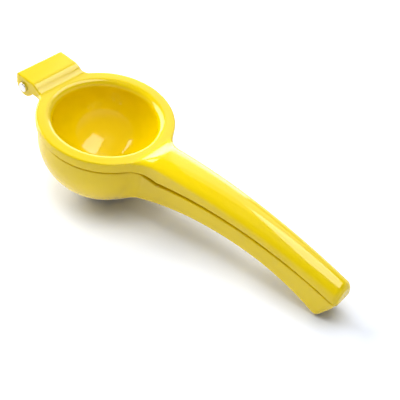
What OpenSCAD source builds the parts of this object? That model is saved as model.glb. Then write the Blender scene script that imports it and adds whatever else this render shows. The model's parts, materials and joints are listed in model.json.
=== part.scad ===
// Hinged lemon squeezer: two cast arms that turn on one steel pin.
//
// Both arms are drawn in the arm frame: its origin is the centre of the cup's flat top face,
// +X points along the handles and +Z out of the cup. rest() then stands the closed squeezer
// on the bottom of its bowl and on its heel, with the middle of its base at the origin.

/* [Press cup] */
// Outside diameter of the flange round the cup
flange_d = 76; // [73:0.5:80]
// Diameter of the cup's mouth, over its rounded lip
mouth_d = 65.6; // [62:0.2:67]
// Radius of the rounded lip
lip_r = 3.4; // [2.4:0.1:4]
// Rounding of the flange's outer edge
edge_r = 0.9; // [0.5:0.1:1.2]
// Thickness of the flange at its middle
flange_t = 5.4; // [4.8:0.1:6]
// Slope of the flange's underside, in degrees
flange_slope = 1.6; // [0:0.1:2.5]
// Wall of the cup
cup_wall = 2.4; // [2:0.1:2.8]
// Fillet between the press dome and the flange
dome_fillet = 1.6; // [1:0.1:1.8]

/* [Bowl] */
// Outside diameter of the bowl
bowl_d = 73.6; // [72:0.2:75]
// Wall of the bowl
bowl_wall = 3; // [2.4:0.1:3.2]
// Depth of the bowl's bottom below the cup's top face
bowl_depth = 50.2; // [47:0.2:55]
// Gap between the flange and the bowl's rim
rim_gap = 1.2; // [0.8:0.1:1.6]
// Diameter of a drain hole
hole_d = 4.6; // [3.6:0.1:5]
// Rings of drain holes round the middle one
hole_rings = 2; // [1:1:2]
// Distance from one ring of holes to the next
hole_pitch = 8.6; // [8:0.1:9.5]

/* [Handles] */
// Distance from the cup's centre to the end of the handles
handle_end = 160.8; // [157:0.2:166]
// Width of the handles where they leave the cup
root_w = 22.6; // [21:0.2:25]
// Width of the handles at their end
tip_w = 14; // [12:0.2:16]
// Fillet in plan between the flange and the upper handle
neck_r = 14; // [12:0.5:22]
// Fillet in plan between the bowl and the lower handle
lower_neck_r = 8; // [6:0.5:10]
// Distance from the cup's centre to the upper handle's highest point
crest_x = 103.5; // [98:0.5:108]
// Height of that point above the cup's top face
crest_z = 9.3; // [8.6:0.1:10]
// Radius of the arch along the upper handle's top
top_r = 340; // [310:5:370]
// Height of the crown across the upper handle
crown = 3.2; // [2.4:0.1:4]
// Rounding of the upper handle's end
end_r = 2.5; // [1.5:0.1:3]
// Distance from the cup's centre to the highest point of the parting line and the bottom
arch_x = 110; // [107:0.5:113]
// Height of the parting line there
parting_z = 1.75; // [1.2:0.05:2.2]
// Radius of the parting line's arch
parting_r = 224; // [205:1:250]
// Distance from the cup's centre at which the parting line starts to level out again
parting_turn_x = 140; // [136:0.5:146]
// Radius with which it levels out
parting_tail_r = 195; // [160:5:260]
// Depth of the lower handle's bottom there
bottom_z = 11.2; // [10.4:0.1:12]
// Radius of the bottom's arch on the cup's side
bottom_r = 158; // [148:1:170]
// Radius of the bottom's sweep down to the heel
sweep_r = 108; // [100:1:116]
// Distance from the cup's centre to the heel
heel_x = 152.2; // [150:0.2:154]
// Rounding of the heel
heel_r = 3.3; // [2.5:0.1:4]
// Gap between the handles at their end
tip_gap = 0.35; // [0.3:0.05:0.8]
// Height of the lower handle's flat end face
tip_face_h = 2.4; // [1:0.1:3]

/* [Hinge] */
// Distance of the pin behind the flange's edge
pin_back = 10.8; // [10.4:0.1:12]
// Depth of the pin below the cup's top face
pin_z = 3.2; // [3:0.1:3.5]
// Diameter of the pin
pin_d = 5.5; // [4.8:0.1:5.8]
// How far the pin stands out at each side
pin_proud = 1.6; // [0.8:0.1:2.2]
// Radial clearance of the pin in the lower arm
pin_clear = 0.06; // [0.03:0.01:0.1]
// Radius of the ears round the pin
ear_r = 6.1; // [5.9:0.1:6.6]
// Width of the hinge over both ears
hinge_w = 32.6; // [30:0.2:35]
// Width of the lower arm's knuckle
knuckle_w = 18; // [16:0.2:20]
// Radius of the knuckle
knuckle_r = 4.3; // [4.1:0.1:4.4]
// Clearance round the knuckle and at its sides
knuckle_gap = 0.35; // [0.3:0.05:0.5]
// Height of the hinge cover above the cup's top face
cover_z = 3.1; // [2.9:0.1:3.8]
// Fillet in plan between the hinge cover and the flange
flare_r = 6; // [3:0.5:8]

/* [Hidden] */
$fn = 96;
enamel = "#f2cf14";
steel = "#c9ccd0";
far = 200;
sunk = 0.1;
corner_step = 15;

flange_r = flange_d / 2;
mouth_r = mouth_d / 2;
cup_r = mouth_r - lip_r;
dome_r = cup_r + cup_wall;
bowl_r = bowl_d / 2;
bowl_z = bowl_r - bowl_depth;
pin_r = pin_d / 2;
pin_x = flange_r + pin_back;
pin_at = [-pin_x, -pin_z];
slot_r = knuckle_r + knuckle_gap;
slot_w = knuckle_w + 2 * knuckle_gap;

// Cover: a flat top falls by a convex and then a concave round to the cup's top face
cover_r = 9;
cover_edge_r = 1;
cover_flat_x = 5.6 - pin_x;
cover_foot_x = cover_flat_x + sqrt(pow(2 * cover_r, 2) - pow(2 * cover_r - cover_z, 2));
cover_turn_x = (cover_flat_x + cover_foot_x) / 2;

// The upper handle's top and crown rise out of the cup's face between these places
saddle_from = flange_r - 4.3;
saddle_to = flange_r + 6.5;

// Heel: a circle that the sweep of the lower handle's bottom runs into without a corner
sweep_z = -bottom_z - sweep_r;
heel_z = sweep_z + sqrt(pow(sweep_r + heel_r, 2) - pow(heel_x - arch_x, 2));
sweep_end_x = arch_x + (heel_x - arch_x) * sweep_r / (sweep_r + heel_r);
tip_z = lower_top(handle_end) - tip_face_h;
heel_to_tip = [handle_end - heel_x, tip_z - heel_z];
heel_turn = atan2(heel_to_tip.y, heel_to_tip.x) - acos(heel_r / norm(heel_to_tip));
heel_off = [heel_x + heel_r * cos(heel_turn), heel_z + heel_r * sin(heel_turn)];

// The closed squeezer leans until the ball of its bowl and its heel are at one height
lean = [heel_x, heel_z - bowl_z];
rest_tilt = asin((bowl_r - heel_r) / norm(lean)) + atan2(lean.y, lean.x);
rest_z = bowl_r - bowl_z * cos(rest_tilt);
back_x = -pin_x * cos(rest_tilt) - pin_z * sin(rest_tilt) - ear_r;
front_x = (handle_end - end_r) * cos(rest_tilt)
    + (upper_top(handle_end) - end_r) * sin(rest_tilt) + end_r;
middle_x = (back_x + front_x) / 2;

// Height of an arch at x, from its crest and its radius
function arch(x, crest, z, r) = z - r + sqrt(r * r - pow(x - crest, 2));

function mix(a, b, t) = a + (b - a) * t;

function smooth(t) = let (u = min(1, max(0, t))) u * u * (3 - 2 * u);

function flange_under(x) = -flange_t - x * tan(flange_slope);

function rise(x) = smooth((x - saddle_from) / (saddle_to - saddle_from));

function upper_top(x) = mix(-sunk, arch(x, crest_x, crest_z, top_r), rise(x));

// The parting line between the handles follows an arch, then levels out towards the end
function parting(x) =
    let (z = arch(min(x, parting_turn_x), arch_x, parting_z, parting_r))
    let (past = max(0, x - parting_turn_x), slope = (parting_turn_x - arch_x) / parting_r)
    z - past * slope + past * past / (2 * parting_tail_r);

function upper_under(x) = max(flange_under(x) + sunk, parting(x));

function lower_top(x) =
    upper_under(x) - 2 * sunk
    - mix(rim_gap, tip_gap, min(1, max(0, (x - bowl_r) / (handle_end - bowl_r))));

function lower_bottom(x) =
    x < arch_x ? arch(x, arch_x, -bottom_z, bottom_r)
    : x < sweep_end_x ? arch(x, arch_x, -bottom_z, sweep_r)
    : x < heel_off.x ? heel_z - sqrt(heel_r * heel_r - pow(x - heel_x, 2))
    : mix(heel_off.y, tip_z, (x - heel_off.x) / (handle_end - heel_off.x));

// Half width of a handle at x; a fillet of radius r widens its root to a round of radius root_r
function side(x) = mix(root_w, tip_w, (x - flange_r) / (handle_end - flange_r)) / 2;

function fillet_x(r, root_r) = sqrt(pow(root_r + r, 2) - pow(root_w / 2 + r, 2));

function half_width(x, r, root_r) =
    let (end = fillet_x(r, root_r))
    side(x) + (x < end ? r - sqrt(r * r - pow(x - end, 2)) : 0);

// The lower handle has its root's cross-section up to root_to, and then turns into its own
root_to = bowl_r - 6.8;
root_turn = 25;

// One cross-section of a handle. over and under are the half axes of its rounded corners.
function bend(c, half_w, round_y) =
    sign(round(c * 1000)) * (half_w - round_y + round_y * abs(c));

function section(x, half_w, top, bottom, over, under) = concat(
    [for (a = [0 : corner_step : 180])
        [x, bend(cos(a), half_w, over.x), top - over.y + over.y * sin(a)]],
    [for (a = [180 : corner_step : 360])
        [x, bend(cos(a), half_w, under.x), bottom + under.y + under.y * sin(a)]]
);

module loft(sections) {
    n = len(sections[0]);
    last = len(sections) - 1;
    polyhedron(
        points = [for (s = sections) each s],
        faces = concat(
            [[for (j = [0 : n - 1]) j]],
            [for (i = [0 : last - 1], j = [0 : n - 1])
                each let (k = (j + 1) % n, a = i * n, b = a + n)
                    [[a + j, b + j, a + k], [a + k, b + j, b + k]]],
            [[for (j = [n - 1 : -1 : 0]) last * n + j]]
        )
    );
}

function steps(a, b, count) = [for (i = [0 : count - 1]) mix(a, b, i / count)];

// Upper handle: a crowned bar that widens into the flange and ends in a rounded nose
function upper_section(x, inset) =
    let (half_w = half_width(x, neck_r, flange_r) - inset * 0.8)
    let (t = rise(x))
    section(
        x, half_w, upper_top(x) - inset, upper_under(x) + inset * 0.1,
        [mix(edge_r, half_w, t), mix(edge_r, crown, t)], [0.8, 0.8]
    );

module upper_handle() {
    neck_from = fillet_x(neck_r, flange_r) * flange_r / (flange_r + neck_r);
    neck_to = fillet_x(neck_r, flange_r);
    nose = handle_end - end_r;
    loft(concat(
        [upper_section(neck_from, 0.2)],
        [for (x = steps(neck_from + 0.8, neck_to, 10)) upper_section(x, 0)],
        [for (x = steps(neck_to, nose, 14)) upper_section(x, 0)],
        [for (a = [0 : 18 : 90]) upper_section(nose + end_r * sin(a), end_r * (1 - cos(a)))]
    ));
}

// Lower handle: a deeper bar with a flat top, rounded below, that sweeps down to the heel
function lower_section(x, half_w) =
    let (top = lower_top(x), bottom = lower_bottom(x), thin = min(1, (top - bottom) / 10))
    let (t = smooth((x - root_to) / root_turn))
    section(
        x, half_w, top, bottom,
        [0.7 * thin, 0.7 * thin], [mix(9, 3.6, t) * thin, mix(14, 3.2, t) * thin]
    );

function lower_half_width(x) = half_width(x, lower_neck_r, bowl_r) - 0.2;

module lower_handle() {
    neck_to = fillet_x(lower_neck_r, bowl_r);
    neck_from = neck_to * bowl_r / (bowl_r + lower_neck_r);
    nose = handle_end - end_r;
    loft(concat(
        [lower_section(neck_from - 7, root_w / 2)],
        [for (x = steps(neck_from, neck_to, 5)) lower_section(x, lower_half_width(x))],
        [for (x = steps(neck_to, sweep_end_x, 16)) lower_section(x, lower_half_width(x))],
        [for (x = steps(sweep_end_x, heel_off.x, 5)) lower_section(x, lower_half_width(x))],
        [for (x = steps(heel_off.x, nose, 3)) lower_section(x, lower_half_width(x))],
        [for (a = [0 : 18 : 90]) let (x = nose + end_r * sin(a), inset = end_r * (1 - cos(a)))
            lower_section(x, lower_half_width(x) - inset * 0.8)]
    ));
}

module rest() {
    translate([-middle_x, 0, rest_z])
        rotate([0, rest_tilt, 0])
            children();
}

// Everything below a plane that slopes like the flange's underside, lowered by gap
module below_flange(gap) {
    translate([0, 0, -flange_t - gap])
        rotate([0, flange_slope, 0])
            translate([-far, -far, -2 * far])
                cube([2 * far, 2 * far, 2 * far]);
}

// A profile drawn in X and Z, given a width across Y about the middle plane
module across(width) {
    translate([0, width / 2, 0])
        rotate([90, 0, 0])
            linear_extrude(width)
                children();
}

module flange() {
    difference() {
        rotate_extrude()
            union() {
                translate([0, -2 * flange_t])
                    square([flange_r - edge_r, 2 * flange_t]);
                translate([0, -2 * flange_t])
                    square([flange_r, 2 * flange_t - edge_r]);
                translate([flange_r - edge_r, -edge_r])
                    circle(edge_r);
            }
        below_flange(0);
    }
}

module dome() {
    foot = -flange_t - dome_fillet;
    rotate_extrude() {
        intersection() {
            translate([0, -lip_r])
                circle(dome_r);
            translate([0, -far])
                square([far, far - lip_r]);
        }
        difference() {
            translate([0, foot])
                square([dome_r + dome_fillet, 2 * dome_fillet]);
            translate([dome_r + dome_fillet, foot])
                circle(dome_fillet);
        }
    }
}

module cup_hollow() {
    rotate_extrude() {
        intersection() {
            translate([0, -lip_r])
                circle(cup_r);
            translate([0, -far])
                square([far, far - lip_r]);
        }
        difference() {
            translate([0, -lip_r])
                square([mouth_r, 4 * lip_r]);
            translate([mouth_r, -lip_r])
                circle(lip_r);
        }
    }
}

// Side view of the hinge cover and its ears
module cover_profile() {
    back = -pin_x - ear_r;
    under = flange_under(-flange_r) + sunk;
    translate(pin_at)
        circle(ear_r);
    translate([back, -pin_z])
        square([ear_r, pin_z + cover_z - cover_edge_r]);
    translate([back + cover_edge_r, -pin_z])
        square([ear_r - cover_edge_r, pin_z + cover_z]);
    translate([back + cover_edge_r, cover_z - cover_edge_r])
        circle(cover_edge_r);
    translate([-pin_x, under])
        square([cover_flat_x + pin_x, cover_z - under]);
    translate([-pin_x, under])
        square([cover_foot_x + pin_x, -under]);
    intersection() {
        translate([cover_flat_x, cover_z - cover_r])
            circle(cover_r);
        translate([cover_flat_x, under])
            square([cover_turn_x - cover_flat_x, cover_z - under]);
    }
    difference() {
        translate([cover_turn_x - sunk, under])
            square([cover_foot_x - cover_turn_x + sunk, cover_z / 2 - under]);
        translate([cover_foot_x, cover_r])
            circle(cover_r);
    }
}

// Plan of the hinge cover, whose sides flare out into the flange
module cover_plan() {
    flare_y = hinge_w / 2 + flare_r;
    reach = flange_r + flare_r - sunk / 2;
    flare_x = -sqrt(reach * reach - flare_y * flare_y);
    touch = [flare_x, flare_y] * flange_r / reach;
    difference() {
        translate([-far, -touch.y])
            square([far + touch.x, 2 * touch.y]);
        for (side = [0, 1])
            mirror([0, side]) {
                translate([flare_x, flare_y])
                    circle(flare_r);
                translate([flare_x - far, hinge_w / 2])
                    square([far, far]);
            }
    }
}

module cover() {
    intersection() {
        across(2 * hinge_w)
            cover_profile();
        translate([0, 0, -far])
            linear_extrude(2 * far)
                cover_plan();
    }
}

// Where the lug's top face meets the bowl's rim, and where it touches a round about the pin
lug_x = -bowl_r + 1.8;
lug_at = [lug_x, flange_under(lug_x) - rim_gap - sunk];
lug_reach = lug_at - pin_at;

function lug_touch(r) =
    let (a = atan2(lug_reach.y, lug_reach.x) + acos(knuckle_r / norm(lug_reach)))
    [r * cos(a), r * sin(a)];

// Room for the knuckle between the ears; it is open below, so that the arms can open
module slot_profile() {
    lift = lug_touch(slot_r) - lug_touch(knuckle_r);
    translate(pin_at) {
        circle(slot_r);
        polygon([
            [0, 0], lug_touch(slot_r), lug_reach + lift,
            [lug_reach.x, -far], [-far, -far], [-far, 0.4], [0, 0.4]
        ]);
    }
}

module knuckle_profile() {
    turn = -55;
    translate(pin_at) {
        circle(knuckle_r);
        polygon([
            [0, 0], knuckle_r * [cos(turn), sin(turn)],
            [lug_reach.x, -14.5 + pin_z], lug_reach, lug_touch(knuckle_r)
        ]);
    }
}

module pin_hole(r, width) {
    across(width)
        translate(pin_at)
            circle(r);
}

module bowl_body(r) {
    rotate_extrude() {
        intersection() {
            translate([0, bowl_z])
                circle(r);
            translate([0, -far])
                square([far, far + bowl_z]);
        }
        translate([0, bowl_z])
            square([r, -bowl_z]);
    }
}

// Drain holes stand clear of the line on which the bowl rests
module drain_holes() {
    for (ring = [0 : hole_rings], i = [0 : max(0, 6 * ring - 1)])
        rotate([0, 0, (i + 0.5) * 60 / max(1, ring)])
            translate([ring * hole_pitch, 0, -far])
                cylinder(d = hole_d, h = far - bowl_r / 2);
}

module upper_arm() {
    color(enamel)
        rest()
            difference() {
                union() {
                    flange();
                    dome();
                    upper_handle();
                    cover();
                }
                cup_hollow();
                across(slot_w)
                    slot_profile();
                pin_hole(pin_r, 2 * hinge_w);
            }
}

module lower_arm() {
    color(enamel)
        rest()
            difference() {
                union() {
                    intersection() {
                        bowl_body(bowl_r);
                        below_flange(rim_gap);
                    }
                    lower_handle();
                    across(knuckle_w)
                        knuckle_profile();
                }
                bowl_body(bowl_r - bowl_wall);
                drain_holes();
                pin_hole(pin_r + pin_clear, 2 * hinge_w);
            }
}

module hinge_pin() {
    chamfer = 0.5;
    length = hinge_w + 2 * pin_proud;
    color(steel)
        rest()
            translate([-pin_x, 0, -pin_z])
                rotate([90, 0, 0]) {
                    cylinder(r = pin_r, h = length - 2 * chamfer, center = true);
                    for (side = [0, 1])
                        mirror([0, 0, side])
                            translate([0, 0, length / 2 - chamfer])
                                cylinder(r1 = pin_r, r2 = pin_r - chamfer, h = chamfer);
                }
}

upper_arm();
lower_arm();
hinge_pin();
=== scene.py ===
"""Looks of the hinged lemon squeezer: enamelled castings, a polished pin, a white studio.

Each casting is one skin around a field: a function that is negative inside the metal and zero
on its surface. A field joins simple forms with fillets and cuts them with rounded edges, as the
casting does. Fields work in millimetres in the arm frame: its origin is the middle of the cup's
flat top face, +X points along the handles and +Z out of the cup. Each finished skin is turned
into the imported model's own frame, in metres.
"""

import json
import math

import bpy
import numpy as np
from mathutils import Matrix, Quaternion, Vector


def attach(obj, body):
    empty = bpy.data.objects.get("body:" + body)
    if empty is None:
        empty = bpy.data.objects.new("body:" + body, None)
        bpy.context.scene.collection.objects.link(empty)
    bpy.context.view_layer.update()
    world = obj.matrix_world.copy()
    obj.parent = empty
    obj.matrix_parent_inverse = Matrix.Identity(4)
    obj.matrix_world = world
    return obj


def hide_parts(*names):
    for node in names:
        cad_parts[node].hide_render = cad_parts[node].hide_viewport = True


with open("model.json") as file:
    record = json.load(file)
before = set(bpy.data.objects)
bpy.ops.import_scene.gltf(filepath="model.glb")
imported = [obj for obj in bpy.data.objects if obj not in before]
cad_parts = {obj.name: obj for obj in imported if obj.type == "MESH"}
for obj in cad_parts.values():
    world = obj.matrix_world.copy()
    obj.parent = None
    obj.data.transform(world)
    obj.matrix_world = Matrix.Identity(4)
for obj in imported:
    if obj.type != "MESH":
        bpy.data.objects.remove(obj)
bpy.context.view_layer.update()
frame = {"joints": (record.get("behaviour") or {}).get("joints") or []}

MM = 0.001

# ---------------------------------------------------------------- sizes, in millimetres

# The cup is a ball below CUP_Z and a tube above it. The flange's underside slopes.
FLANGE_R = 38.0
FLANGE_T = 5.4
FLANGE_SLOPE = math.radians(1.6)
FLANGE_EDGE_R = 0.9
MOUTH_R = 33.2
LIP_R = 4.4
CUP_R = MOUTH_R - LIP_R
CUP_Z = -3.4
DOME_R = 31.8
DOME_FILLET = 1.6

# The bowl is a ball below BOWL_Z. Its drain holes lie in rings round a middle one.
BOWL_R = 36.8
BOWL_WALL = 3.0
BOWL_DEPTH = 50.2
BOWL_Z = BOWL_R - BOWL_DEPTH
RIM_EDGE_R = 0.8
HOLE_R = 2.3
HOLE_RINGS = 2
HOLE_PITCH = 8.6
HOLE_EDGE_R = 0.5

# The gap between the arms: at the rim, then from the neck to the handles' end.
RIM_GAP = 1.6
NECK_GAP = 2.3
TIP_GAP = 0.45
GAP_CHANGE = (BOWL_R - 6.0, BOWL_R + 2.0)

# Both handles start inside the flange or bowl. CREST is the x and z of the upper handle's highest
# point, its crown has the heights CROWN at the root and the end, and its top rises within SADDLE.
HANDLE_START = 20.0
HANDLE_END = 160.6
ROOT_W = 22.6
TIP_W = 14.0
NECK_R = 14.0
CREST = (103.5, 9.3)
TOP_R = 340.0
CROWN = (3.8, 6.0)
SADDLE = (FLANGE_R - 4.8, FLANGE_R + 6.5)
END_R = 3.0
END_LEAN = math.radians(5)
UNDER_EDGE_R = 0.6

# The parting line between the handles: an arch, and a parabola past PARTING_TURN_X.
ARCH_X = 110.0
PARTING_Z = 1.75
PARTING_R = 224.0
PARTING_TURN_X = 140.0
PARTING_TAIL_R = 220.0

# The lower handle's underside: two arches that meet at ARCH_X, the heel and the end face.
BOTTOM_Z = 11.2
BOTTOM_R = 158.0
SWEEP_R = 108.0
HEEL_X = 152.2
HEEL_R = 3.3
TIP_FACE_H = 2.4
LOWER_NECK_R = 4.5
LOWER_INSET = 0.2
LOWER_EDGE_R = 3.2

# The pin and the upper arm's ears and cover, which is flat to COVER_FLAT in front of the pin.
PIN_X = FLANGE_R + 10.8
PIN_Z = 3.2
PIN_R = 2.75
PIN_CLEAR = 0.06
PIN_PROUD = 1.6
PIN_EDGE_R = 0.55
PIN_DOME = 0.12
PIN_SIDES = 64
HINGE_W = 32.6
EAR_R = 6.1
EAR_FILLET = 1.2
COVER_Z = 3.1
COVER_FLAT = 5.6
COVER_R = 9.0
COVER_EDGE_R = 0.4
FLARE_R = 6.0

# The lower arm's knuckle and lug, and the slot that they turn in.
KNUCKLE_W = 18.0
KNUCKLE_R = 4.3
KNUCKLE_EDGE_R = 0.4
KNUCKLE_FILLET = 0.8
KNUCKLE_GAP = 0.35
LUG_INSET = 1.8
LUG_FOOT_Z = -14.5
LUG_BACK = math.radians(-55)
SLOT_ROOF = 0.4
SLOT_EDGE_R = 0.3

# How deep forms that only touch are run into each other.
SUNK = 0.03

# The size of the mesh's cells.
GRID = 0.7

# ---------------------------------------------------------------- the camera, fitted to the photograph

# The middle of the cup's rim is seen at RIM_PIXEL, RIM_DEPTH metres into the picture.
FOCAL_PX = 800.0
IMAGE_PX = 400.0
SENSOR_MM = 36.0
RIM_PIXEL = (106.32, 115.85)
VIEW_AZIMUTH = math.radians(40.85)
VIEW_ELEVATION = math.radians(39.04)
RIM_DEPTH = 0.43598

# ---------------------------------------------------------------- fields


def fillet(a, b, radius):
    """The union of two fields, with a concave round where they meet."""
    near = np.hypot(np.maximum(radius - a, 0), np.maximum(radius - b, 0))
    return np.maximum(radius, np.minimum(a, b)) - near


def rounded(a, b, radius):
    """What two fields share, with a convex round along its edge."""
    near = np.hypot(np.maximum(radius + a, 0), np.maximum(radius + b, 0))
    return np.minimum(-radius, np.maximum(a, b)) + near


def mix(a, b, t):
    return a + (b - a) * t


def ease(x, start, end):
    """0 up to start and 1 from end on, with a smooth rise between them."""
    u = np.clip((x - start) / (end - start), 0, 1)
    return u * u * (3 - 2 * u)


def arch(x, crest_x, crest_z, radius):
    """Height at x of a circle's upper side."""
    return crest_z - radius + np.sqrt(radius**2 - (x - crest_x) ** 2)


def steepness(height, x, step=0.05):
    """How much longer than its run a curve is at x, which turns a height above it into a distance."""
    slope = (height(x + step) - height(x - step)) / (2 * step)
    return np.sqrt(1 + slope * slope)


def above(height, x, z):
    """Distance of a point over the curve height(x)."""
    return (z - height(x)) / steepness(height, x)


def half_plane(p, q, x, z):
    """Distance of a point to the left of the line from p to q."""
    along = np.array(q) - np.array(p)
    return ((x - p[0]) * -along[1] + (z - p[1]) * along[0]) / np.hypot(*along)


def polygon(points, x, z):
    """A convex outline whose points go round clockwise."""
    sides = [half_plane(p, q, x, z) for p, q in zip(points, points[1:] + points[:1])]
    return np.maximum.reduce(sides)


# ---------------------------------------------------------------- the handles' curves


def flange_under(x):
    return -FLANGE_T - x * math.tan(FLANGE_SLOPE)


def upper_top(x):
    """The upper handle's top, which rises out of the flange from just under its face."""
    return mix(-SUNK, arch(x, *CREST, TOP_R), ease(x, *SADDLE))


def parting(x):
    """The parting line, which is the upper handle's underside."""
    turned = np.minimum(x, PARTING_TURN_X)
    past = np.maximum(x - PARTING_TURN_X, 0)
    slope = (PARTING_TURN_X - ARCH_X) / PARTING_R
    return arch(turned, ARCH_X, PARTING_Z, PARTING_R) - past * slope - past**2 / (2 * PARTING_TAIL_R)


def upper_under(x):
    """The upper arm's underside: the flange's, then the handle's."""
    return np.maximum(flange_under(np.maximum(x, -FLANGE_R)), parting(x))


def lower_top(x):
    """The lower arm's top, one gap under the upper arm."""
    gap = mix(NECK_GAP, TIP_GAP, np.clip((x - BOWL_R) / (HANDLE_END - BOWL_R), 0, 1))
    return upper_under(x) - mix(RIM_GAP, gap, ease(x, *GAP_CHANGE))


SWEEP_Z = -BOTTOM_Z - SWEEP_R
HEEL_Z = SWEEP_Z + math.sqrt((SWEEP_R + HEEL_R) ** 2 - (HEEL_X - ARCH_X) ** 2)
SWEEP_END_X = ARCH_X + (HEEL_X - ARCH_X) * SWEEP_R / (SWEEP_R + HEEL_R)
TIP_Z = float(lower_top(HANDLE_END)) - TIP_FACE_H


def tangent_from_tip():
    """Where a line from the end face's lower edge touches the heel's round."""
    run, drop = HANDLE_END - HEEL_X, TIP_Z - HEEL_Z
    turn = math.atan2(drop, run) - math.acos(HEEL_R / math.hypot(run, drop))
    return HEEL_X + HEEL_R * math.cos(turn), HEEL_Z + HEEL_R * math.sin(turn)


HEEL_OFF = tangent_from_tip()


def lower_bottom(x):
    """The lower handle's underside, with its heel and the slant behind it."""
    x = np.clip(x, 0, HANDLE_END)
    near = arch(x, ARCH_X, -BOTTOM_Z, np.where(x < ARCH_X, BOTTOM_R, SWEEP_R))
    heel = HEEL_Z - np.sqrt(np.maximum(HEEL_R**2 - (x - HEEL_X) ** 2, 0))
    back = mix(HEEL_OFF[1], TIP_Z, (x - HEEL_OFF[0]) / (HANDLE_END - HEEL_OFF[0]))
    return np.where(x < SWEEP_END_X, near, np.where(x < HEEL_OFF[0], heel, back))


def taper(x):
    """Half of a handle's width, without the fillet at its root."""
    return mix(ROOT_W, TIP_W, (x - FLANGE_R) / (HANDLE_END - FLANGE_R)) / 2


def widening(x, half_w, neck_r, root_r):
    """What a fillet adds to a bar's half width where the bar leaves a round of radius root_r."""
    end = math.sqrt((root_r + neck_r) ** 2 - (half_w + neck_r) ** 2)
    start = end * root_r / (root_r + neck_r)
    run = np.clip(end - x, 0, end - start)
    return neck_r - np.sqrt(neck_r**2 - run**2)


def handle_half_width(x):
    return taper(np.maximum(x, 0)) + widening(x, ROOT_W / 2, NECK_R, FLANGE_R)


def cover_half_width(x):
    return HINGE_W / 2 + widening(-x, HINGE_W / 2, FLARE_R, FLANGE_R)


# ---------------------------------------------------------------- the castings


def crowned_bar(x, y, z):
    """The upper handle without its ends: flat sides under an elliptical crown."""
    wide = handle_half_width(x)
    rise = ease(x, *SADDLE)
    crown = mix(*CROWN, np.clip((x - FLANGE_R) / (HANDLE_END - FLANGE_R), 0, 1))
    crown = mix(FLANGE_EDGE_R, crown, rise)
    edge_w = mix(FLANGE_EDGE_R, wide, rise)
    across = np.maximum(np.abs(y) - wide + edge_w, 0) / edge_w
    over = np.maximum(z - upper_top(x) + crown, 0) / crown
    shape = across**2 + over**2 - 1
    slope = 2 * np.hypot(across / edge_w, over / crown)
    inside = np.maximum(np.abs(y) - wide, z - upper_top(x))
    flat = 0.02
    return np.where(slope > flat, shape / np.maximum(slope, flat), inside)


def beyond_end(x, z):
    """Distance beyond both handles' end face, which leans out below the top."""
    drop = float(upper_top(HANDLE_END)) - z
    return (x - HANDLE_END) * math.cos(END_LEAN) - drop * math.sin(END_LEAN)


def upper_handle(x, y, z):
    """The upper handle without its underside. It starts inside the flange."""
    bar = rounded(crowned_bar(x, y, z), beyond_end(x, z), END_R)
    return np.maximum(bar, HANDLE_START - x)


COVER_FLAT_X = COVER_FLAT - PIN_X
COVER_FOOT_X = COVER_FLAT_X + math.sqrt((2 * COVER_R) ** 2 - (2 * COVER_R - COVER_Z) ** 2)
COVER_TURN_X = (COVER_FLAT_X + COVER_FOOT_X) / 2


def cover_top(x):
    """The cover's top: flat, then falling by a convex and a concave round to the flange's top."""
    x = np.clip(x, COVER_FLAT_X, COVER_FOOT_X)
    run = np.minimum(x - COVER_FLAT_X, COVER_FOOT_X - x)
    drop = COVER_R - np.sqrt(COVER_R**2 - run**2)
    return np.where(x < COVER_TURN_X, COVER_Z - drop, drop)


def flange_and_cover(x, y, z):
    """The flange and the hinge cover behind it, without their underside and the ears."""
    side = above(cover_half_width, x, np.abs(y))
    plan = rounded(-PIN_X - EAR_R - x, side, COVER_EDGE_R)
    plan = np.minimum(np.maximum(plan, x), np.hypot(x, y) - FLANGE_R)
    return rounded(plan, above(cover_top, x, z), FLANGE_EDGE_R)


def ears(x, y, z):
    """Both ears as one block, which the slot parts."""
    ear = np.hypot(x + PIN_X, z + PIN_Z) - EAR_R
    column = np.maximum(-PIN_Z - z, np.maximum(x + PIN_X, -PIN_X - EAR_R - x))
    bridge = np.maximum(upper_under(-FLANGE_R) - z, np.maximum(-PIN_X - x, x + FLANGE_R))
    side_view = fillet(np.minimum(ear, column), bridge, EAR_FILLET)
    side_view = np.maximum(side_view, z - COVER_Z + 2 * FLANGE_EDGE_R)
    return rounded(side_view, np.abs(y) - HINGE_W / 2, FLANGE_EDGE_R)


def lug_points():
    """The lug's top, seen from the pin: its corner at the bowl, and where it leaves the knuckle.

    The second is a direction of length 1.
    """
    lug_x = LUG_INSET - BOWL_R
    reach = (lug_x + PIN_X, float(flange_under(lug_x)) - RIM_GAP - SUNK + PIN_Z)
    turn = math.atan2(reach[1], reach[0]) + math.acos(KNUCKLE_R / math.hypot(*reach))
    touch = (math.cos(turn), math.sin(turn))
    return reach, touch


def slot(x, y, z):
    """Room for the knuckle between the ears, open below."""
    reach, touch = lug_points()
    radius = KNUCKLE_R + KNUCKLE_GAP
    lift = (touch[0] * KNUCKLE_GAP, touch[1] * KNUCKLE_GAP)
    u, v = x + PIN_X, z + PIN_Z
    lifted_touch = (touch[0] * radius, touch[1] * radius)
    lifted_reach = (reach[0] + lift[0], reach[1] + lift[1])
    top = half_plane(lifted_touch, lifted_reach, u, v)
    front = np.maximum(np.maximum(top, u - reach[0]), -u)
    behind = np.maximum(v - SLOT_ROOF, u)
    side_view = np.minimum(np.minimum(front, behind), np.hypot(u, v) - radius)
    return np.maximum(side_view, np.abs(y) - KNUCKLE_W / 2 - KNUCKLE_GAP)


def pin_bore(x, z, radius):
    """A bore along the hinge's axis."""
    return np.hypot(x + PIN_X, z + PIN_Z) - radius


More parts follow.
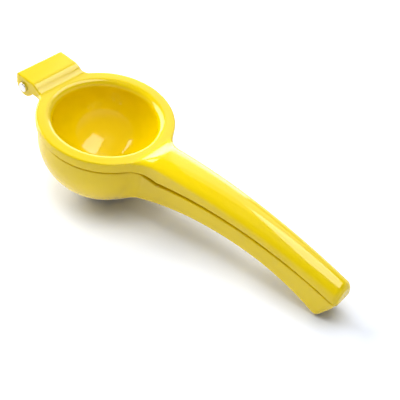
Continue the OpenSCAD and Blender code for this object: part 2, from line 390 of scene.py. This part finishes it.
def upper_arm_field(x, y, z):
    """The cup, flange, handle, cover and ears, which are one casting."""
    plan = np.hypot(x, y)
    ball = np.hypot(plan, np.minimum(z - CUP_Z, 0))
    body = np.minimum(flange_and_cover(x, y, z), upper_handle(x, y, z))
    body = rounded(body, -above(upper_under, x, z), UNDER_EDGE_R)
    body = np.minimum(body, ears(x, y, z))
    body = fillet(body, np.maximum(ball - DOME_R, z - CUP_Z), DOME_FILLET)
    air = np.maximum(fillet(ball - CUP_R, -z, LIP_R), plan - MOUTH_R)
    body = np.maximum(body, -air)
    body = rounded(body, -slot(x, y, z), SLOT_EDGE_R)
    return np.maximum(body, -pin_bore(x, z, PIN_R))


def lower_bar(x, y, z):
    """The lower handle without its top face."""
    side = np.abs(y) - taper(x) + LOWER_INSET
    bar = rounded(side, -above(lower_bottom, x, z), LOWER_EDGE_R)
    return np.maximum(rounded(bar, beyond_end(x, z), END_R), HANDLE_START - x)


def knuckle(x, y, z):
    """The round that turns on the pin, with the lug that joins it to the bowl."""
    reach, touch = lug_points()
    u, v = x + PIN_X, z + PIN_Z
    corners = [
        (0, 0),
        (touch[0] * KNUCKLE_R, touch[1] * KNUCKLE_R),
        reach,
        (reach[0], LUG_FOOT_Z + PIN_Z),
        (KNUCKLE_R * math.cos(LUG_BACK), KNUCKLE_R * math.sin(LUG_BACK)),
    ]
    side_view = np.minimum(np.hypot(u, v) - KNUCKLE_R, polygon(corners, u, v))
    return rounded(side_view, np.abs(y) - KNUCKLE_W / 2, KNUCKLE_EDGE_R)


def drain_holes(x, y):
    """A middle hole, and rings of six, twelve and so on round it."""
    holes = np.hypot(x, y) - HOLE_R
    for ring in range(1, HOLE_RINGS + 1):
        for i in range(6 * ring):
            turn = math.radians((i + 0.5) * 60 / ring)
            at = ring * HOLE_PITCH * math.cos(turn), ring * HOLE_PITCH * math.sin(turn)
            holes = np.minimum(holes, np.hypot(x - at[0], y - at[1]) - HOLE_R)
    return holes


def lower_arm_field(x, y, z):
    """The bowl with its holes, the handle and the knuckle, which are one casting."""
    ball = np.hypot(np.hypot(x, y), np.minimum(z - BOWL_Z, 0))
    body = fillet(ball - BOWL_R, lower_bar(x, y, z), LOWER_NECK_R)
    body = rounded(body, above(lower_top, x, z), RIM_EDGE_R)
    body = fillet(body, knuckle(x, y, z), KNUCKLE_FILLET)
    body = rounded(body, BOWL_R - BOWL_WALL - ball, RIM_EDGE_R)
    holes = np.maximum(drain_holes(x, y), z - BOWL_Z)
    body = rounded(body, -holes, HOLE_EDGE_R)
    return np.maximum(body, -pin_bore(x, z, PIN_R + PIN_CLEAR))


# ---------------------------------------------------------------- from the arm frame to the model


def rest_tilt():
    """The closed squeezer leans until the ball of its bowl and its heel are at one height."""
    run, climb = HEEL_X, HEEL_Z - BOWL_Z
    return math.asin((BOWL_R - HEEL_R) / math.hypot(run, climb)) + math.atan2(climb, run)


TURN = Matrix.Rotation(rest_tilt(), 3, "Y")
HINGE = Vector(frame["joints"][0]["pos_m"])
ARM_ORIGIN = HINGE - TURN @ Vector((-PIN_X, 0, -PIN_Z)) * MM


def to_model(points):
    """Points of the arm frame in millimetres, as points of the model's frame in metres."""
    return points @ np.array(TURN).T * MM + np.array(ARM_ORIGIN)


# ---------------------------------------------------------------- meshing


def gradient(field, p, step=0.02):
    """The field's slope along each axis, at each point."""

    def along(axis):
        offset = np.zeros(3)
        offset[axis] = step
        return (field(*(p + offset).T) - field(*(p - offset).T)) / (2 * step)

    return np.stack([along(axis) for axis in range(3)], axis=1)


def settle(field, p, rounds=4):
    """Moves points onto the surface, and returns them with the surface's normals."""
    for _ in range(rounds):
        slope = gradient(field, p)
        steepness_squared = np.maximum((slope * slope).sum(1), 0.05)
        move = np.clip(field(*p.T) / steepness_squared, -GRID / 2, GRID / 2)
        p = p - slope * move[:, None]
    slope = gradient(field, p)
    return p, slope / np.maximum(np.linalg.norm(slope, axis=1), 1e-6)[:, None]


def grid_line(low, high):
    """Grid values that lie evenly about zero, half a cell off it."""
    first, last = math.floor(low / GRID) - 1, math.ceil(high / GRID) + 1
    return (np.arange(first, last + 1) + 0.5) * GRID


def sample(field, lines):
    """The field's value at each point of a grid, worked out in slices across x."""
    values = np.empty([len(line) for line in lines], np.float32)
    y, z = np.meshgrid(lines[1], lines[2], indexing="ij")
    for i, x in enumerate(lines[0]):
        values[i] = field(np.full_like(y, x), y, z)
    return values


CELL_CORNERS = [(i, j, k) for i in (0, 1) for j in (0, 1) for k in (0, 1)]


def crossed_cells(solid):
    """The grid cells with some corners inside the metal and some outside it."""
    shape = np.array(solid.shape) - 1
    corners = [solid[i : i + shape[0], j : j + shape[1], k : k + shape[2]] for i, j, k in CELL_CORNERS]
    count = np.sum(corners, axis=0, dtype=np.int8)
    return np.argwhere((count > 0) & (count < len(CELL_CORNERS)))


def middle_crossings(values, cells):
    """The mean of the places where the surface crosses the edges of each cell, in grid steps."""
    total = np.zeros((len(cells), 3))
    crossings = np.zeros(len(cells))
    for a in CELL_CORNERS:
        for axis in (n for n in range(3) if a[n] == 0):
            b = tuple(1 if n == axis else a[n] for n in range(3))
            start, end = values[tuple((cells + a).T)], values[tuple((cells + b).T)]
            crossed = (start < 0) != (end < 0)
            t = np.where(crossed, start / np.where(crossed, start - end, 1), 0)
            point = cells + np.array(a) + t[:, None] * (np.array(b) - np.array(a))
            total += np.where(crossed[:, None], point, 0)
            crossings += crossed
    return total / crossings[:, None]


def skin(field, low, high):
    """A closed quad mesh around a field: one vertex in each grid cell that the surface crosses."""
    lines = [grid_line(a, b) for a, b in zip(low, high)]
    values = sample(field, lines)
    solid = values < 0
    cells = crossed_cells(solid)
    number = np.full(np.array(values.shape) - 1, -1, np.int64)
    number[tuple(cells.T)] = np.arange(len(cells))
    inner = middle_crossings(values, cells)
    places = [np.interp(inner[:, n], np.arange(len(line)), line) for n, line in enumerate(lines)]
    return np.stack(places, 1), quads(solid, number)


def quads(solid, number):
    """One quad for each grid edge that leaves or enters the metal, wound to face outwards."""
    faces = []
    for axis in range(3):
        u, v = (axis + 1) % 3, (axis + 2) % 3
        ahead = np.roll(solid, -1, axis)
        crossed = np.argwhere(solid != ahead)
        inside = [crossed[:, n] >= 1 for n in (u, v)] + [crossed[:, axis] < number.shape[axis]]
        inside += [crossed[:, n] < number.shape[n] for n in (u, v)]
        crossed = crossed[np.logical_and.reduce(inside)]
        around = []
        for du, dv in ((-1, -1), (0, -1), (0, 0), (-1, 0)):
            cell = crossed.copy()
            cell[:, u] += du
            cell[:, v] += dv
            around.append(number[tuple(cell.T)])
        ring = np.stack(around, axis=1)
        outwards = solid[tuple(crossed.T)]
        faces.append(np.where(outwards[:, None], ring, ring[:, ::-1]))
    return np.concatenate(faces)


def new_piece(name, points, faces, normals=None):
    """A smoothly shaded object, with the normals of its vertices where they are given."""
    mesh = bpy.data.meshes.new(name)
    mesh.from_pydata(points.tolist(), [], faces)
    mesh.update()
    mesh.shade_smooth()
    if normals is not None:
        mesh.normals_split_custom_set_from_vertices(normals.tolist())
    piece = bpy.data.objects.new(name, mesh)
    bpy.context.scene.collection.objects.link(piece)
    return piece


def casting(name, field, low, high):
    """A casting's skin, settled on its field and put in its place in the model."""
    points, faces = skin(field, low, high)
    points, normals = settle(field, points)
    return new_piece(name, to_model(points), faces.tolist(), normals @ np.array(TURN).T)


def pin_end():
    """The outline of one end of the pin, as radius and place along Y: slightly domed, then rounded."""
    half = HINGE_W / 2 + PIN_PROUD
    dome = [(PIN_R * share, half - PIN_DOME * share**2) for share in (0.0, 0.25, 0.5, 0.7)]
    round_r, round_y = PIN_R - PIN_EDGE_R, half - PIN_DOME - PIN_EDGE_R
    turns = np.radians(np.linspace(90, 0, 7))
    edge = [(round_r + PIN_EDGE_R * math.cos(t), round_y + PIN_EDGE_R * math.sin(t)) for t in turns]
    return dome + edge


def pin_piece(name):
    """The pin: its outline turned round its axis, with a fan of triangles at the middle of each end."""
    (_, tip_y), *end = pin_end()
    outline = end + [(r, -y) for r, y in reversed(end)]
    turns = np.linspace(0, 2 * math.pi, PIN_SIDES, endpoint=False)
    sides = [(math.cos(t), math.sin(t)) for t in turns]
    points = [(-PIN_X + r * u, y, -PIN_Z + r * v) for r, y in outline for u, v in sides]
    tips = len(points), len(points) + 1
    points += [(-PIN_X, tip_y, -PIN_Z), (-PIN_X, -tip_y, -PIN_Z)]
    last = (len(outline) - 1) * PIN_SIDES
    beside = [(i, (i + 1) % PIN_SIDES) for i in range(PIN_SIDES)]
    faces = []
    for ring in range(0, last, PIN_SIDES):
        after = ring + PIN_SIDES
        faces += [(ring + i, ring + k, after + k, after + i) for i, k in beside]
    faces += [(tips[0], k, i) for i, k in beside]
    faces += [(tips[1], last + i, last + k) for i, k in beside]
    return new_piece(name, to_model(np.array(points)), faces)


# ---------------------------------------------------------------- materials


def new_material(name):
    material = bpy.data.materials.new(name)
    material.use_nodes = True
    tree = material.node_tree
    tree.nodes.clear()
    return material, tree


def add(tree, kind, *in_order, **by_name):
    """A node with its inputs filled in their order or by name. A value that is a socket is linked."""
    node = tree.nodes.new(kind)
    filled = list(zip(node.inputs, in_order))
    filled += [(node.inputs[name.replace("_", " ")], value) for name, value in by_name.items()]
    for socket, value in filled:
        if isinstance(value, bpy.types.NodeSocket):
            tree.links.new(value, socket)
        else:
            socket.default_value = value
    return node


def ramp(tree, value, low, high, start=0.3, stop=0.7):
    """A colour that runs from low to high as value goes from start to stop."""
    node = add(tree, "ShaderNodeValToRGB", Fac=value)
    for element, position, color in zip(node.color_ramp.elements, (start, stop), (low, high)):
        element.position = position
        element.color = (*color, 1)
    return node.outputs["Color"]


def noise(tree, where, scale, detail=2.0, rough=0.5):
    node = add(tree, "ShaderNodeTexNoise", Vector=where, Scale=scale, Detail=detail, Roughness=rough)
    return node.outputs["Fac"]


def spread(tree, value, low, high):
    """Runs from low to high as value goes from 0 to 1."""
    node = add(tree, "ShaderNodeMapRange", Value=value, To_Min=low, To_Max=high)
    return node.outputs["Result"]


def coat(tree, height, strength, distance, **looks):
    """Ends a material in one principled surface with fine relief. Distance is in metres."""
    bump = add(tree, "ShaderNodeBump", Height=height, Strength=strength, Distance=distance)
    shader = add(tree, "ShaderNodeBsdfPrincipled", Normal=bump.outputs["Normal"], **looks)
    add(tree, "ShaderNodeOutputMaterial", Surface=shader.outputs["BSDF"])


def enamel():
    """Glossy enamel: an even yellow with slight clouds, soft orange peel and mottled gloss."""
    material, tree = new_material("enamel")
    where = add(tree, "ShaderNodeTexCoord").outputs["Object"]
    clouds = noise(tree, where, 38.0, 3.0)
    yellow = ramp(tree, clouds, (0.88, 0.65, 0.0), (0.92, 0.69, 0.0))
    rough = spread(tree, noise(tree, where, 120.0, 4.0), 0.07, 0.13)
    peel = noise(tree, where, 420.0, 2.0, 0.4)
    wave = noise(tree, where, 90.0, 1.0)
    relief = add(tree, "ShaderNodeMath", peel, 0.4, wave)
    relief.operation = "MULTIPLY_ADD"
    coat(tree, relief.outputs["Value"], 0.25, 0.06 * MM, Base_Color=yellow, Roughness=rough, IOR=1.5)
    return material


def polished_steel():
    """Polished steel with faint stains, uneven gloss and a fine grain."""
    material, tree = new_material("polished_steel")
    where = add(tree, "ShaderNodeTexCoord").outputs["Object"]
    stain = noise(tree, where, 500.0, 4.0)
    grey = ramp(tree, stain, (0.80, 0.80, 0.80), (0.90, 0.90, 0.89))
    rough = spread(tree, noise(tree, where, 900.0, 3.0), 0.18, 0.32)
    grain = noise(tree, where, 1600.0)
    coat(tree, grain, 0.15, 0.04 * MM, Base_Color=grey, Metallic=1.0, Roughness=rough)
    return material


# ---------------------------------------------------------------- studio, in metres

# The floor fades to plain white between these two distances from the model's origin.
FADE_M = (0.16, 0.6)
FLOOR_M = 6.0
# How close metal has to be for the painted contact shadow to darken the floor's colour.
PAINTED_CONTACT_SHADE_M = 0.017
WHITE = (1, 1, 1, 1)
# The colour of the painted blue glow that the floor shows in the shadow.
PAINTED_SHADOW_GLOW_BLUE = (0.0, 0.3, 1.0, 1)


def white_world(ambient, overhead):
    """A plain level of light all round. It is seen as white, and glossy things mirror a dim sky.

    That sky is white at the horizon, and dims to overhead from 30 degrees up.
    """
    world = bpy.data.worlds.new("studio")
    bpy.context.scene.world = world
    world.use_nodes = True
    tree = world.node_tree
    tree.nodes.clear()
    where = add(tree, "ShaderNodeTexCoord").outputs["Generated"]
    height = add(tree, "ShaderNodeSeparateXYZ", Vector=where).outputs["Z"]
    sky = add(tree, "ShaderNodeMapRange", Value=height, From_Max=0.5, To_Min=1.0, To_Max=overhead)
    path = add(tree, "ShaderNodeLightPath").outputs
    strength = spread(tree, path["Is Glossy Ray"], ambient, sky.outputs["Result"])
    strength = spread(tree, path["Is Camera Ray"], strength, 1.0)
    strength = spread(tree, path["Is Transmission Ray"], strength, 1.0)
    back = add(tree, "ShaderNodeBackground", Color=WHITE, Strength=strength)
    add(tree, "ShaderNodeOutputWorld", Surface=back.outputs["Background"])


def blend(tree, share, first, second):
    """A blend of two shaders: the first where share is 0, and the second where it is 1."""
    return add(tree, "ShaderNodeMixShader", share, first, second).outputs["Shader"]


def glow(tree, color, strength):
    """An even glow, which needs no lamp to look bright."""
    return add(tree, "ShaderNodeEmission", Color=color, Strength=strength).outputs["Emission"]


def floor_with_painted_contact_shadow(tree):
    """The floor near the object: darker where metal is close.

    The darkening is a painted contact shadow, and a painted blue glow makes up for the yellow light
    that the enamel throws into the shadow.
    """
    # Painted contact shadow: the floor's colour runs darker where metal is close.
    painted_shade_openness = add(tree, "ShaderNodeAmbientOcclusion", Distance=PAINTED_CONTACT_SHADE_M).outputs["AO"]
    color = ramp(tree, painted_shade_openness, (0.50, 0.51, 0.53), (0.94, 0.95, 0.97), 0.0, 1.0)
    matt = add(tree, "ShaderNodeBsdfDiffuse", Color=color).outputs["BSDF"]
    # Painted glow: a faint blue emission in the shadow, weaker where metal is close.
    painted_blue_glow = glow(tree, PAINTED_SHADOW_GLOW_BLUE, spread(tree, painted_shade_openness, 0.02, 0.11))
    return add(tree, "ShaderNodeAddShader", matt, painted_blue_glow).outputs["Shader"]


def floor_material():
    """A matt floor that holds the shadow, and that the camera sees turn to plain white further out."""
    material, tree = new_material("floor")
    where = add(tree, "ShaderNodeTexCoord").outputs["Object"]
    grey = ramp(tree, noise(tree, where, 3.0), (0.86, 0.86, 0.86), (0.88, 0.88, 0.88))
    matt = add(tree, "ShaderNodeBsdfDiffuse", Color=grey).outputs["BSDF"]
    white = glow(tree, WHITE, 1.0)
    away = add(tree, "ShaderNodeVectorMath", where)
    away.operation = "LENGTH"
    near, far = FADE_M
    fade = add(tree, "ShaderNodeMapRange", Value=away.outputs["Value"], From_Min=near, From_Max=far)
    # Near the object the floor shows a painted contact shadow and a painted blue glow; further out it
    # fades to plain white.
    pictured = blend(tree, fade.outputs["Result"], floor_with_painted_contact_shadow(tree), white)
    path = add(tree, "ShaderNodeLightPath").outputs
    surface = blend(tree, path["Is Camera Ray"], matt, pictured)
    surface = blend(tree, spread(tree, path["Is Glossy Ray"], 0.0, 0.25), surface, white)
    surface = blend(tree, path["Is Transmission Ray"], surface, white)
    add(tree, "ShaderNodeOutputMaterial", Surface=surface)
    return material


def white_floor():
    """A square floor round the model's origin."""
    points = np.array([(-1, -1, 0), (1, -1, 0), (1, 1, 0), (-1, 1, 0)]) * FLOOR_M / 2
    floor = new_piece("floor", points, [(0, 1, 2, 3)])
    floor.data.materials.append(floor_material())


def softbox(name, azimuth, elevation, distance, size, radiance, roll=0, lights=True, mirrored=True):
    """A rectangular lamp that faces the cup. Its azimuth turns from +X towards +Y, in degrees.

    It lights matt surfaces if lights is set, and shows in glossy ones if mirrored is set.
    """
    a, e = math.radians(azimuth), math.radians(elevation)
    towards = Vector((math.cos(a) * math.cos(e), math.sin(a) * math.cos(e), math.sin(e)))
    lamp = bpy.data.lights.new(name, "AREA")
    lamp.shape = "RECTANGLE"
    lamp.size, lamp.size_y = size
    lamp.energy = radiance * math.pi * size[0] * size[1]
    holder = bpy.data.objects.new(name, lamp)
    bpy.context.scene.collection.objects.link(holder)
    holder.visible_diffuse = lights
    holder.visible_glossy = mirrored
    holder.location = ARM_ORIGIN + towards * distance
    facing = towards.to_track_quat("Z", "Y") @ Quaternion((0, 0, 1), math.radians(roll))
    holder.rotation_euler = facing.to_euler()


def photo_camera():
    """The camera that took the photograph, placed by where it shows the middle of the cup's rim."""
    a, e = VIEW_AZIMUTH, VIEW_ELEVATION
    right = Vector((math.cos(a), math.sin(a), 0))
    look = Vector((-math.sin(a) * math.cos(e), math.cos(a) * math.cos(e), -math.sin(e)))
    up = right.cross(look)
    middle = IMAGE_PX / 2
    across = (RIM_PIXEL[0] - middle) / FOCAL_PX * RIM_DEPTH
    upwards = (middle - RIM_PIXEL[1]) / FOCAL_PX * RIM_DEPTH
    place = ARM_ORIGIN - right * across - up * upwards - look * RIM_DEPTH
    axes = Matrix((right, up, -look)).transposed()
    camera = bpy.data.objects.new("camera", bpy.data.cameras.new("camera"))
    camera.data.sensor_width = SENSOR_MM
    camera.data.lens = FOCAL_PX / IMAGE_PX * SENSOR_MM
    camera.data.clip_start = 0.01
    bpy.context.scene.collection.objects.link(camera)
    camera.matrix_world = Matrix.Translation(place) @ axes.to_4x4()
    bpy.context.scene.camera = camera


# ---------------------------------------------------------------- the scene

photo_camera()
white_world(ambient=0.26, overhead=0.12)
white_floor()
softbox("box", 54, 60, distance=1.2, size=(1.08, 0.60), radiance=4.7, roll=-26, lights=False)
softbox("side", 183, 34, distance=1.4, size=(1.25, 0.96), radiance=5.6)
softbox("top", 15, 79, distance=1.2, size=(0.9, 0.9), radiance=3.6, mirrored=False)
softbox("back", 132, 13, distance=1.4, size=(1.4, 0.6), radiance=4.0)
softbox("haze_wide", 112, 38, distance=1.4, size=(1.5, 0.7), radiance=0.7, lights=False)
softbox("haze_narrow", 106, 46, distance=1.4, size=(0.9, 1.05), radiance=0.8, lights=False)

yellow = enamel()
steel = polished_steel()

upper_low = (-PIN_X - EAR_R, -FLANGE_R, CUP_Z - DOME_R)
upper_high = (HANDLE_END, FLANGE_R, CREST[1])
upper_arm = casting("upper_arm_casting", upper_arm_field, upper_low, upper_high)
upper_arm.data.materials.append(yellow)
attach(upper_arm, "upper_arm")
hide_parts("upper_arm")

lower_low = (-PIN_X - KNUCKLE_R, -BOWL_R, BOWL_Z - BOWL_R)
lower_high = (HANDLE_END, BOWL_R, PARTING_Z)
lower_arm = casting("lower_arm_casting", lower_arm_field, lower_low, lower_high)
lower_arm.data.materials.append(yellow)
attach(lower_arm, "lower_arm")
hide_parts("lower_arm")

pin = pin_piece("steel_pin")
pin.data.materials.append(steel)
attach(pin, "upper_arm")
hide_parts("hinge_pin")

view = bpy.context.scene.view_settings
view.view_transform = "Standard"
